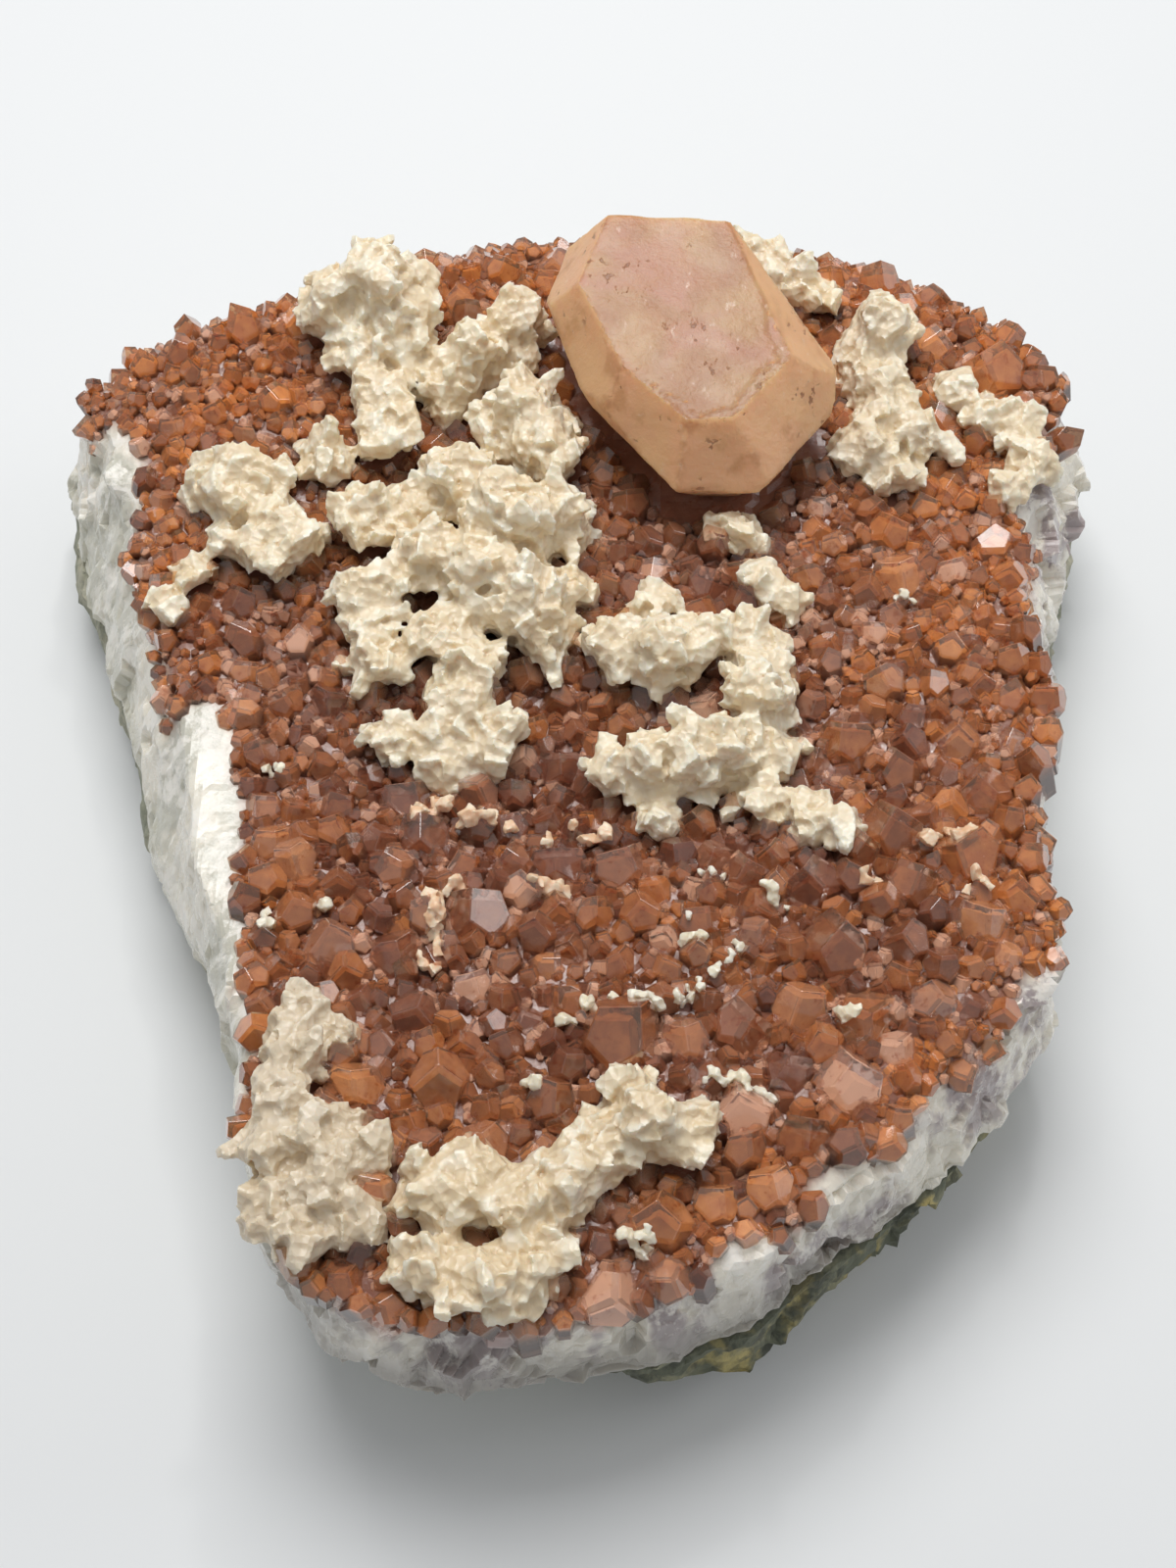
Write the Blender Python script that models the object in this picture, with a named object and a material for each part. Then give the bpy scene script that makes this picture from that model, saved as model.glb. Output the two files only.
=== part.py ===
"""A hematoid quartz specimen: a broken plate of host rock, the pale quartz seam that grew on it with
its crust of red quartz points, ridges of cream dolomite on the crust, and one large peach calcite.

Run with blender --background --python part.py. Lengths in the tables are millimetres; the model is in
metres, with +Z up, X to the right, Y away from the front, and the flat underside on Z = 0.
"""

import math
import random

import bmesh
import bpy
from mathutils import Matrix, Vector, noise

MM = 0.001
GAP = 0.3
WELD = 0.001

# Heights of the plate's levels above the surface it lies on
FOOT_LEVEL = 8.0
WAIST_LEVEL = 21.0
SHOULDER_LEVEL = 32.0
RIM_LEVEL = 38.0
BED_LEVEL = 39.0
CONTACT_LEVEL = 18.0

# Waves of the face between the seam and the rock: height, length and start, along X and then along Y
CONTACT_WAVE_X = (2.2, 27.0, 0.6)
CONTACT_WAVE_Y = (1.8, 21.0, -0.8)
CONTACT_ROUGHNESS = 1.4
# The cutter that parts seam and rock reaches past the plate on every side, and over its top
CUTTER_REACH = 110.0
CUTTER_TOP = 90.0

# The middle that every outline is swept round, and how many corners each ring of the plate has
MIDDLE = (0.0, 0.0)
RING_CORNERS = 48

# Outline of the flat underside, then of the rock at its widest, counterclockwise from the right
BASE_OUTLINE = [
    (62, 0), (66, 22), (70, 42), (74, 60), (68, 74), (48, 86), (20, 90), (-10, 90), (-40, 84),
    (-66, 76), (-80, 66), (-80, 50), (-72, 30), (-65, 10), (-58, -8), (-50, -24), (-42, -42),
    (-32, -58), (-20, -66), (-4, -68), (12, -72), (24, -68), (38, -56), (48, -42), (56, -24),
]
FOOT_OUTLINE = [
    (69, 0), (72, 20), (78, 40), (83, 58), (81, 74), (70, 86), (50, 94), (22, 97), (-10, 97),
    (-42, 91), (-68, 84), (-86, 76), (-91, 62), (-84, 43), (-76, 19), (-68, -3), (-60, -20),
    (-53, -37), (-44, -52), (-36, -66), (-22, -77), (-4, -80), (12, -85), (22, -84), (30, -76),
    (39, -68), (48, -60), (57, -48), (63, -34), (66, -18),
]
# Outline of the quartz seam where it meets the rock, and of its upper rim
WAIST_OUTLINE = [
    (70, 0), (72, 18), (77, 36), (82, 52), (84, 66), (80, 80), (70, 90), (56, 96), (38, 101),
    (16, 103), (-10, 103), (-32, 99), (-50, 91), (-66, 86), (-80, 79), (-88, 69), (-87, 56),
    (-81, 40), (-75, 24), (-70, 8), (-66, -6), (-61, -18), (-55, -32), (-50, -46), (-47, -60),
    (-45, -71), (-40, -80), (-31, -87), (-20, -90), (-6, -90), (8, -88), (18, -85), (26, -79),
    (35, -73), (46, -65), (56, -55), (64, -46), (68, -35), (68, -22), (70, -10),
]
RIM_OUTLINE = [
    (68, 0), (69, 14), (66, 26), (69, 40), (73, 54), (76, 67), (70, 80), (59, 89), (43, 96),
    (24, 101), (4, 101), (-16, 100), (-32, 95), (-46, 88), (-61, 83), (-74, 76), (-82, 66),
    (-77, 50), (-71, 38), (-67, 26), (-62, 12), (-59, 0), (-57, -16), (-53, -29), (-48, -42),
    (-46, -56), (-44, -69), (-39, -78), (-30, -85), (-16, -87), (0, -86), (12, -83), (21, -77),
    (31, -70), (41, -61), (50, -51), (60, -42), (66, -32), (64, -20), (65, -10),
]

# How the broken sides wander in and out, and their rings up and down, and the shares of the rim at which
# the top has its rings
BREAK_DEPTH = 2.2
BREAK_SIZE = 17.0
LEVEL_WANDER = 1.2
TOP_RING_SHARES = (0.94, 0.74, 0.50, 0.25)

# The plate that cuts the later crystals flat underneath is this much wider than the real one
BED_CUTTER_SHARE = 1.004

# Swells and hollows of the quartz bed: middle x and y, half-widths in x and y, height
BED_SWELLS = [
    (-56, 68, 34, 24, 4.5),
    (48, -26, 24, 22, 2.4),
    (30, 70, 30, 24, 1.6),
    (-14, -54, 34, 22, 1.4),
    (0, 98, 66, 26, 3.6),
    (-2, -6, 44, 12, -3.6),
]

# Close to the rim the crystals lean outwards: from what share of the way there, and how far at the rim
LEAN_FROM = 0.8
LEAN_AT_RIM = 0.55

# The largest quartz points, where they stand and their radius
LARGE_POINTS = [
    (-25.9, -8.7, 4.5), (-23.4, -15.5, 4.6), (-15.4, -29.4, 5.2), (-4.1, -20.8, 4.2), (4.2, -21.5, 4.2),
    (-11.6, -14.0, 3.6), (-17.5, -20.8, 3.2), (-4.7, -28.6, 3.4), (-35.6, -33.5, 4.3), (-26.3, -35.2, 3.5),
    (-15.8, -40.2, 3.8), (-23.4, -45.0, 3.5), (-30.4, -55.4, 4.0), (-19.5, -55.0, 4.5), (-11.0, -49.6, 3.4),
    (4.0, -48.3, 6.0), (-5.0, -58.0, 3.8), (13.0, -48.5, 3.4), (20.4, -46.6, 4.9), (28.4, -44.0, 4.3),
    (33.8, -34.8, 5.4), (42.8, -16.6, 5.0), (31.6, -25.2, 4.3), (53.2, -20.4, 5.3), (59.6, -27.4, 3.5),
    (45.2, -25.4, 4.2), (53.8, -31.4, 4.0), (43.8, -34.4, 4.2), (37.6, -45.0, 4.6), (46.4, -43.0, 3.6),
    (26.4, -53.2, 3.7), (34.8, -54.6, 4.8), (20.8, -58.4, 3.9), (28.0, -62.4, 4.4), (16.4, -71.2, 3.5),
    (9.6, -74.6, 4.6), (2.6, -83.4, 4.0), (54.2, -0.4, 4.2), (57.0, -9.8, 4.5), (38.2, 0.2, 4.1),
    (47.6, 29.6, 4.6), (62.8, 36.4, 3.4), (66.4, 70.0, 5.6), (48.4, 89.2, 4.2), (56.2, 76.6, 4.4),
    (18.6, 27.6, 4.0), (-55.8, 76.6, 5.2), (-47.4, 78.4, 4.4), (-66.2, 72.2, 4.0), (-64.4, 44.0, 4.2),
    (-73.6, 58.4, 4.2), (-21.4, 84.6, 4.2), (-14.2, 90.6, 4.2), (-5.6, 92.4, 3.8), (-53.0, 24.4, 3.8),
    (-23.8, 54.0, 3.8), (-4.6, 7.6, 3.8), (-4.2, -2.6, 4.4), (-38.4, 7.4, 3.8), (-60.4, 62.6, 4.6),
]
SMALL_POINT_RADII = (3.0, 4.3)
SMALL_POINT_TRIES = 2600
POINT_SPACING = 0.94
POINT_ROOT = 2.4
SHANK_FROM = 3.6
POINT_SEED = 41
POINT_LEAN = 0.16
# Room that a point leaves round a dolomite lump, and round the calcite's footprint on the bed
LUMP_ROOM = 1.6
LUMP_SPREAD = 1.12
POINT_SPREAD = 1.1
CALCITE_HALF_WIDTHS = (23.0, 25.0)
CALCITE_POINT_SHARE = 26.0

# Dolomite growths. Each lump: middle x and y, radius, height of its crown above the bed
DOLOMITE = {
    "dolomite_back_ridge": [
        (-33, 78, 7.5, 12.0), (-40, 77, 6.0, 9.0), (-30, 72, 5.5, 7.5), (-36, 70, 5.5, 7.0),
        (-32.5, 62, 5.5, 6.5), (-32, 55.5, 5.5, 6.0), (-41, 50, 4.2, 4.5), (-47, 57, 4.4, 5.5),
        (-22.5, 64, 4.8, 6.5), (-18, 68, 5.6, 8.0), (-13, 72, 5.2, 8.0), (-10.5, 77, 4.8, 8.0),
    ],
    "dolomite_left_block": [
        (-55.5, 44, 6.2, 7.0), (-50, 44, 4.6, 6.0), (-47.5, 34, 5.8, 6.5), (-44.5, 34.5, 3.8, 5.5),
        (-55, 35, 3.6, 3.5), (-60.5, 29, 3.4, 3.2), (-63.5, 23.5, 2.6, 2.6),
    ],
    "dolomite_main_ridge": [
        (-34, 39, 5.4, 6.5), (-28, 41, 4.8, 6.0), (-20.5, 44, 6.4, 8.5), (-10, 57, 6.4, 8.5),
        (-6.5, 50, 5.8, 8.0), (-12, 34, 7.6, 11.0), (-4.5, 38, 5.6, 7.5), (-24, 30, 5.8, 7.5),
        (-16, 26.5, 6.6, 9.5), (-3.5, 26, 4.0, 5.5), (-8.5, 20, 6.4, 9.0), (-33, 23, 5.8, 7.0),
        (-42, 18.5, 4.2, 5.0), (-31.5, 12.5, 4.6, 5.5), (-22, 17, 5.0, 7.0), (-17.5, 11, 5.2, 7.0),
        (-20, 4.5, 4.8, 6.0), (-14.5, 0.5, 4.6, 6.0), (-29, 0.5, 4.0, 4.5), (-21, -4, 4.2, 5.0),
    ],
    "dolomite_right_ridge": [
        (5, 15, 5.0, 7.0), (10, 12.5, 5.2, 7.5), (9.5, 23, 3.6, 5.0), (16.5, 16.5, 4.6, 6.0),
        (23, 16, 5.0, 6.5), (26.5, 10.5, 4.6, 6.5), (25, 4.5, 5.0, 7.5), (3.5, -5, 4.4, 6.5),
        (9, -6, 4.8, 7.5), (14.5, -4.5, 5.4, 8.5), (20, -4, 5.4, 8.5), (25.5, -3, 5.0, 7.0),
        (25, -10.5, 4.2, 5.0), (10, -13, 3.0, 4.0), (32, -14.5, 3.8, 4.5), (36, -17.5, 3.0, 3.6),
    ],
    "dolomite_small_lump": [(26.5, 27.5, 3.6, 5.0), (30, 24, 3.0, 4.0)],
    "dolomite_under_calcite": [(23, 36.5, 3.8, 4.5)],
    "dolomite_right_cluster": [
        (47, 74, 5.2, 8.0), (48.5, 79.5, 4.2, 7.0), (45, 67, 4.8, 7.0), (47, 60.5, 4.8, 6.5),
        (43.5, 53.5, 4.6, 5.5), (52.5, 55, 4.2, 5.5), (47.5, 48, 4.0, 4.5),
    ],
    "dolomite_right_chain": [
        (59, 66, 3.8, 5.0), (63.5, 61, 3.4, 4.2), (69, 57.5, 3.8, 4.2), (70, 51, 3.4, 3.6),
        (66.5, 46, 3.0, 3.2),
    ],
    "dolomite_back_lump": [(29, 90, 5.2, 7.0), (34, 86, 4.0, 5.0), (38, 84, 3.6, 5.0)],
    "dolomite_front_left": [
        (-38.5, -46.5, 4.0, 5.0), (-34, -48.5, 3.0, 4.0), (-39, -52.5, 4.4, 6.0), (-39.5, -58.5, 4.6, 6.0),
        (-41, -64, 4.2, 5.0), (-34.5, -62.5, 4.8, 6.5), (-29, -65, 3.8, 5.0), (-33, -70, 4.4, 6.0),
        (-40.5, -71.5, 4.0, 4.5), (-36.5, -76, 4.0, 4.5), (-30, -74.5, 3.4, 5.0),
    ],
    "dolomite_front_arc": [
        (-20, -71, 4.8, 6.5), (-14.5, -69, 4.8, 6.5), (-9.5, -72, 4.4, 6.0), (-3.5, -70, 4.8, 6.5),
        (2, -65, 4.4, 6.5), (7.5, -62.5, 4.8, 7.5), (5.5, -57, 3.4, 5.5), (12.5, -63.5, 4.2, 6.5),
        (-20.5, -80.5, 4.4, 6.0), (-15, -82, 5.0, 6.5), (-9, -81, 4.8, 6.0), (-5, -79, 4.0, 5.5),
    ],
}
# A lump has a foot rhomb, and from some height a crown rhomb: each one's side as a share of the lump's
# radius, and its middle as a share of the lump's height
FOOT_SIDE_SHARE = 1.75
FOOT_HEIGHT_SHARE = 0.4
CROWN_SIDE_SHARE = 1.25
CROWN_HEIGHT_SHARE = 0.95
CROWNED_FROM = 7.5
RHOMB_SQUASH = 0.78
DOLOMITE_SEED = 12

# The calcite crystal: its middle, and each face as an outward direction and its distance from the middle
CALCITE_MIDDLE = (16.0, 61.0, 50.0)
CALCITE_BLOCK = 90.0
CALCITE_FACES = [
    ((0.01, -0.15, 0.99), 9.8),
    ((-0.77, 0.18, 0.62), 22.0),
    ((-0.76, -0.42, 0.50), 15.2),
    ((-0.55, -0.64, 0.54), 14.6),
    ((0.04, -0.82, 0.58), 17.0),
    ((0.49, -0.51, 0.70), 15.9),
    ((0.65, -0.50, 0.57), 17.9),
    ((0.56, 0.07, 0.82), 15.5),
    ((-0.96, -0.27, -0.08), 17.9),
    ((-0.81, -0.58, -0.10), 15.8),
    ((0.00, -1.00, -0.10), 21.8),
    ((0.81, -0.58, -0.10), 21.9),
    ((0.99, 0.10, -0.10), 21.5),
    ((0.80, 0.60, -0.05), 17.2),
    ((0.05, 0.99, 0.10), 22.6),
    ((-0.95, 0.30, 0.00), 25.3),
    ((0.00, -0.80, -0.60), 18.5),
    ((-0.65, -0.47, -0.60), 12.9),
    ((-0.80, -0.20, -0.57), 13.7),
    ((0.65, -0.47, -0.60), 17.8),
    ((0.80, 0.10, -0.60), 16.7),
    ((0.65, 0.50, -0.57), 16.6),
    ((0.05, 0.80, -0.60), 17.2),
    ((-0.70, 0.40, -0.60), 21.4),
]


def clear_scene():
    """Removes whatever objects the file opens with."""
    for thing in list(bpy.data.objects):
        bpy.data.objects.remove(thing, do_unlink=True)


def new_collection(name):
    """A collection of its own in the scene."""
    made = bpy.data.collections.new(name)
    bpy.context.scene.collection.children.link(made)
    return made


def new_material(name, colour, roughness):
    """A plain stone finish."""
    made = bpy.data.materials.new(name)
    made.use_nodes = True
    shader = made.node_tree.nodes["Principled BSDF"]
    shader.inputs["Base Color"].default_value = (*colour, 1.0)
    shader.inputs["Roughness"].default_value = roughness
    shader.inputs["Metallic"].default_value = 0.0
    return made


def object_from(bm, name, collection):
    """Puts a bmesh into a new object, with its faces pointing out."""
    bmesh.ops.recalc_face_normals(bm, faces=bm.faces)
    mesh = bpy.data.meshes.new(name)
    bm.to_mesh(mesh)
    bm.free()
    made = bpy.data.objects.new(name, mesh)
    collection.objects.link(made)
    return made


def as_cutter(thing):
    """Keeps a helper out of the finished model."""
    thing.hide_render = True
    thing.display_type = "WIRE"
    return thing


def smooth_closed(points, steps=8):
    """A closed smooth curve through the points, as short straight runs."""
    count = len(points)
    curve = []
    for i in range(count):
        before, start, end, after = (Vector(points[(i + k) % count]) for k in (-1, 0, 1, 2))
        for step in range(steps):
            t = step / steps
            curve.append(
                0.5
                * (
                    2 * start
                    + (end - before) * t
                    + (2 * before - 5 * start + 4 * end - after) * t * t
                    + (3 * start - before - 3 * end + after) * t * t * t
                )
            )
    return curve


def outline_reach(points):
    """Returns a function giving how far the outline lies from the middle in any direction."""
    middle = Vector(MIDDLE)
    samples = sorted(
        (math.atan2(*(p - middle).yx) % math.tau, (p - middle).length) for p in smooth_closed(points)
    )
    samples = [(samples[-1][0] - math.tau, samples[-1][1])] + samples
    samples.append((samples[1][0] + math.tau, samples[1][1]))

    def reach(angle):
        angle %= math.tau
        for (a, low), (b, high) in zip(samples, samples[1:]):
            if a <= angle <= b:
                return low + (high - low) * (angle - a) / max(b - a, 1e-9)
        return samples[0][1]

    return reach


def bed_height(x, y):
    """Height of the quartz bed, which the crystals stand on, above the underside."""
    height = BED_LEVEL
    for mid_x, mid_y, half_x, half_y, rise in BED_SWELLS:
        height += rise * math.exp(-(((x - mid_x) / half_x) ** 2) - ((y - mid_y) / half_y) ** 2)
    return height


def broken(x, y, z, depth):
    """How far a broken face stands out at a place: long swells with smaller chips on them."""
    place = Vector((x, y, z)) / BREAK_SIZE
    return depth * (noise.noise(place) + 0.45 * noise.noise(place * 2.7 + Vector((5.0, 1.0, 3.0))))


def ring_of(reach, level, share=1.0, roughness=1.0):
    """The corners of one ring of the plate. A level of None lays the ring on the quartz bed."""
    corners = []
    for i in range(RING_CORNERS):
        angle = math.tau * i / RING_CORNERS
        radius = reach(angle) * share
        x, y = radius * math.cos(angle), radius * math.sin(angle)
        z = bed_height(x, y) if level is None else level
        out = broken(x, y, z, BREAK_DEPTH * roughness)
        x, y = x + out * math.cos(angle), y + out * math.sin(angle)
        if level is None:
            z = bed_height(x, y)
        elif level > 0:
            z += broken(y, z, x, LEVEL_WANDER)
        corners.append(Vector((x, y, z)) * MM)
    return corners


def make_blank(name, collection):
    """The whole plate before the seam is parted from its rock, lofted from the underside over the top."""
    foot, waist, rim = (outline_reach(p) for p in (FOOT_OUTLINE, WAIST_OUTLINE, RIM_OUTLINE))
    rings = [
        ring_of(outline_reach(BASE_OUTLINE), 0.0, roughness=0.6),
        ring_of(foot, FOOT_LEVEL),
        ring_of(lambda a: 0.5 * (foot(a) + waist(a)), (FOOT_LEVEL + WAIST_LEVEL) / 2),
        ring_of(waist, WAIST_LEVEL),
        ring_of(lambda a: 0.45 * waist(a) + 0.55 * rim(a), SHOULDER_LEVEL, roughness=0.8),
        ring_of(rim, RIM_LEVEL, roughness=0.5),
    ]
    rings += [ring_of(rim, None, share, 0.2) for share in TOP_RING_SHARES]
    bm = bmesh.new()
    loops = [[bm.verts.new(corner) for corner in ring] for ring in rings]
    for low, high in zip(loops, loops[1:]):
        for i in range(RING_CORNERS):
            j = (i + 1) % RING_CORNERS
            bm.faces.new((low[i], low[j], high[j], high[i]))
    bm.faces.new(reversed(loops[0]))
    top = bm.faces.new(loops[-1])
    bmesh.ops.poke(bm, faces=[top])
    bmesh.ops.triangulate(bm, faces=[face for face in bm.faces if len(face.verts) == 4])
    return object_from(bm, name, collection)


def contact_height(x, y):
    """Height of the face where the quartz seam grew on the rock."""
    height = CONTACT_LEVEL + broken(x, y, 0, CONTACT_ROUGHNESS)
    for place, (rise, length, start) in ((x, CONTACT_WAVE_X), (y, CONTACT_WAVE_Y)):
        height += rise * math.sin(place / length + start)
    return height


def make_seam_cutter(name, lift, collection):
    """Everything above the contact face, moved up by lift."""
    bm = bmesh.new()
    bmesh.ops.create_grid(bm, x_segments=10, y_segments=10, size=CUTTER_REACH * MM)
    for vert in bm.verts:
        vert.co.z = (contact_height(vert.co.x / MM, vert.co.y / MM) + lift) * MM
    raised = bmesh.ops.extrude_face_region(bm, geom=bm.faces[:])
    for vert in raised["geom"]:
        if isinstance(vert, bmesh.types.BMVert):
            vert.co.z = CUTTER_TOP * MM
    return as_cutter(object_from(bm, name, collection))


def boolean(thing, operation, other):
    """Adds one exact Boolean to a piece."""
    modifier = thing.modifiers.new(operation.lower(), "BOOLEAN")
    modifier.operation = operation
    modifier.solver = "EXACT"
    if isinstance(other, bpy.types.Collection):
        modifier.operand_type = "COLLECTION"
        modifier.collection = other
    else:
        modifier.object = other


def keep_main_body(bm):
    """Drops the chips that a cut left loose, and the hollows that a join closed in."""
    left = set(bm.verts)
    bodies = []
    while left:
        waiting = [left.pop()]
        body = set(waiting)
        while waiting:
            vert = waiting.pop()
            near = {link.other_vert(vert) for link in vert.link_edges} - body
            body |= near
            waiting.extend(near)
        left -= body
        bodies.append(body)
    bodies.sort(key=len)
    spare = [vert for body in bodies[:-1] for vert in body]
    bmesh.ops.delete(bm, geom=spare, context="VERTS")


def settle(thing):
    """Makes a piece's modifiers its own mesh, and tidies the faces that the Booleans left."""
    bpy.context.view_layer.update()
    graph = bpy.context.evaluated_depsgraph_get()
    mesh = bpy.data.meshes.new_from_object(thing.evaluated_get(graph))
    thing.modifiers.clear()
    bm = bmesh.new()
    bm.from_mesh(mesh)
    bmesh.ops.remove_doubles(bm, verts=bm.verts, dist=WELD * MM)
    bmesh.ops.triangulate(bm, faces=bm.faces)
    keep_main_body(bm)
    bm.to_mesh(mesh)
    bm.free()
    thing.data = mesh


def fuse(thing, grown, spare):
    """Joins the grown pieces, which overlap, into one solid with thing."""
    group = bpy.data.collections.new(thing.name + "_grown")
    spare.children.link(group)
    for piece in grown:
        spare.objects.unlink(piece)
        group.objects.link(piece)
    boolean(thing, "UNION", group)
    settle(thing)
    for piece in grown:
        bpy.data.objects.remove(piece, do_unlink=True)
    bpy.data.collections.remove(group)


def lean_to(direction, turn):
    """A rotation that stands a piece's own Z axis along a direction, turned about it."""
    return direction.to_track_quat("Z", "Y").to_matrix().to_4x4() @ Matrix.Rotation(turn, 4, "Z")


def bed_normal(x, y):
    """Which way the bed faces, leaning outwards close to the rim as the outer crystals do."""
    step = 1.0
    slope_x = (bed_height(x + step, y) - bed_height(x - step, y)) / (2 * step)
    slope_y = (bed_height(x, y + step) - bed_height(x, y - step)) / (2 * step)
    normal = Vector((-slope_x, -slope_y, 1.0)).normalized()
    share = math.hypot(x, y) / RIM_REACH(math.atan2(y, x))
    outwards = Vector((x, y, 0.0)).normalized()
    lean = LEAN_AT_RIM * max(0.0, share - LEAN_FROM) / (1 - LEAN_FROM)
    return (normal + outwards * lean).normalized()


RIM_REACH = outline_reach(RIM_OUTLINE)


def inside_rim(x, y, margin):
    """Whether a place is on the bed, at least margin from its rim."""
    return math.hypot(x, y) < RIM_REACH(math.atan2(y, x)) - margin


def clear_of_growths(x, y, radius):
    """Whether a quartz point of this radius would stand clear of the dolomite and the calcite."""
    for lumps in DOLOMITE.values():
        for lump_x, lump_y, lump_radius, _ in lumps:
            room = LUMP_SPREAD * lump_radius + POINT_SPREAD * radius + LUMP_ROOM
            if math.hypot(x - lump_x, y - lump_y) < room:
                return False
    mid_x, mid_y, _ = CALCITE_MIDDLE
    half_x, half_y = CALCITE_HALF_WIDTHS
    return math.hypot((x - mid_x) / half_x, (y - mid_y) / half_y) > 1.0 + radius / CALCITE_POINT_SHARE


def point_places():
    """Where the quartz points stand: the large ones as listed, then smaller ones wherever there is room."""
    rng = random.Random(POINT_SEED)
    places = [p for p in LARGE_POINTS if clear_of_growths(*p)]
    for _ in range(SMALL_POINT_TRIES):
        x, y = rng.uniform(-84, 78), rng.uniform(-92, 98)
        radius = rng.uniform(*SMALL_POINT_RADII)
        if not inside_rim(x, y, 0.6 * radius) or not clear_of_growths(x, y, radius):
            continue
        if all(math.hypot(x - a, y - b) > POINT_SPACING * (radius + r) for a, b, r in places):
            places.append((x, y, radius))
    return places


def make_point(name, radius, collection, rng):
    """One quartz point: a six-sided prism whose end rises to an off-centre tip."""
    shank = radius * rng.uniform(0.35, 0.85) if radius > SHANK_FROM else 0.0
    bm = bmesh.new()
    bmesh.ops.create_cone(
        bm,
        cap_ends=True,
        segments=6,
        radius1=radius * 0.92 * MM,
        radius2=radius * MM,
        depth=(shank + POINT_ROOT) * MM,
        matrix=Matrix.Translation((0, 0, (shank - POINT_ROOT) / 2 * MM)),
    )
    end = max(bm.faces, key=lambda face: face.calc_center_median().z)
    tip = bmesh.ops.poke(bm, faces=[end], offset=radius * rng.uniform(0.85, 1.15) * MM)["verts"][0]
    tip.co.x += radius * rng.uniform(-0.22, 0.22) * MM
    tip.co.y += radius * rng.uniform(-0.22, 0.22) * MM
    for vert in bm.verts:
        if vert is not tip and vert.co.z > 0:
            vert.co.z += radius * rng.uniform(-0.16, 0.16) * MM
    return as_cutter(object_from(bm, name, collection))


def make_points(collection):
    """All the quartz points, each leaning a little its own way."""
    rng = random.Random(POINT_SEED + 1)
    points = []
    for i, (x, y, radius) in enumerate(point_places()):
        point = make_point(f"point_{i}", radius, collection, rng)
        lean = Vector((rng.gauss(0, POINT_LEAN), rng.gauss(0, POINT_LEAN), 0.0))
        direction = (bed_normal(x, y) + lean).normalized()
        place = Vector((x, y, bed_height(x, y))) * MM
        point.matrix_world = Matrix.Translation(place) @ lean_to(direction, rng.uniform(0, math.tau))
        points.append(point)
    return points


def make_rhomb(name, side, place, rng, collection):
    """One dolomite rhomb: a cube pressed along its body diagonal, turned its own way."""
    diagonal = Vector((1, 1, 1)).normalized()
    squash = Matrix.Scale(RHOMB_SQUASH, 4, diagonal)
    turn = Matrix.Rotation(rng.uniform(0, math.tau), 4, "Z") @ Matrix.Rotation(rng.uniform(0.3, 1.3), 4, "X")
    bm = bmesh.new()
    bmesh.ops.create_cube(bm, size=side * MM)
    bmesh.ops.transform(bm, matrix=Matrix.Translation(place * MM) @ turn @ squash, verts=bm.verts)
    return as_cutter(object_from(bm, name, collection))


def make_growth(name, lumps, model, spare):
    """One dolomite growth: a foot rhomb and a crown rhomb for each lump, fused."""
    rng = random.Random(DOLOMITE_SEED + len(lumps))
    rhombs = []
    for x, y, radius, crown in lumps:
        bed = bed_height(x, y)
        foot = Vector((x, y, bed + FOOT_HEIGHT_SHARE * crown))
        rhombs.append(make_rhomb(name + "_foot", radius * FOOT_SIDE_SHARE, foot, rng, spare))
        if crown >= CROWNED_FROM:
            head = Vector((x, y, bed + CROWN_HEIGHT_SHARE * crown))
            rhombs.append(make_rhomb(name + "_crown", radius * CROWN_SIDE_SHARE, head, rng, spare))
    growth = rhombs.pop(0)
    growth.name = name
    growth.hide_render = False
    growth.display_type = "TEXTURED"
    spare.objects.unlink(growth)
    model.objects.link(growth)
    fuse(growth, rhombs, spare)
    return growth


def make_calcite(name, grow, collection):
    """The calcite crystal, cut face by face from a block; grow moves every face outwards."""
    bm = bmesh.new()
    bmesh.ops.create_cube(bm, size=CALCITE_BLOCK * MM)
    for direction, distance in CALCITE_FACES:
        outward = Vector(direction).normalized()
        cut = bmesh.ops.bisect_plane(
            bm,
            geom=bm.verts[:] + bm.edges[:] + bm.faces[:],
            plane_co=outward * (distance + grow) * MM,
            plane_no=outward,
            clear_outer=True,
        )
        rim = [part for part in cut["geom_cut"] if isinstance(part, bmesh.types.BMEdge)]
        bmesh.ops.contextual_create(bm, geom=rim)
    made = object_from(bm, name, collection)
    made.location = Vector(CALCITE_MIDDLE) * MM
    return made


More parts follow.
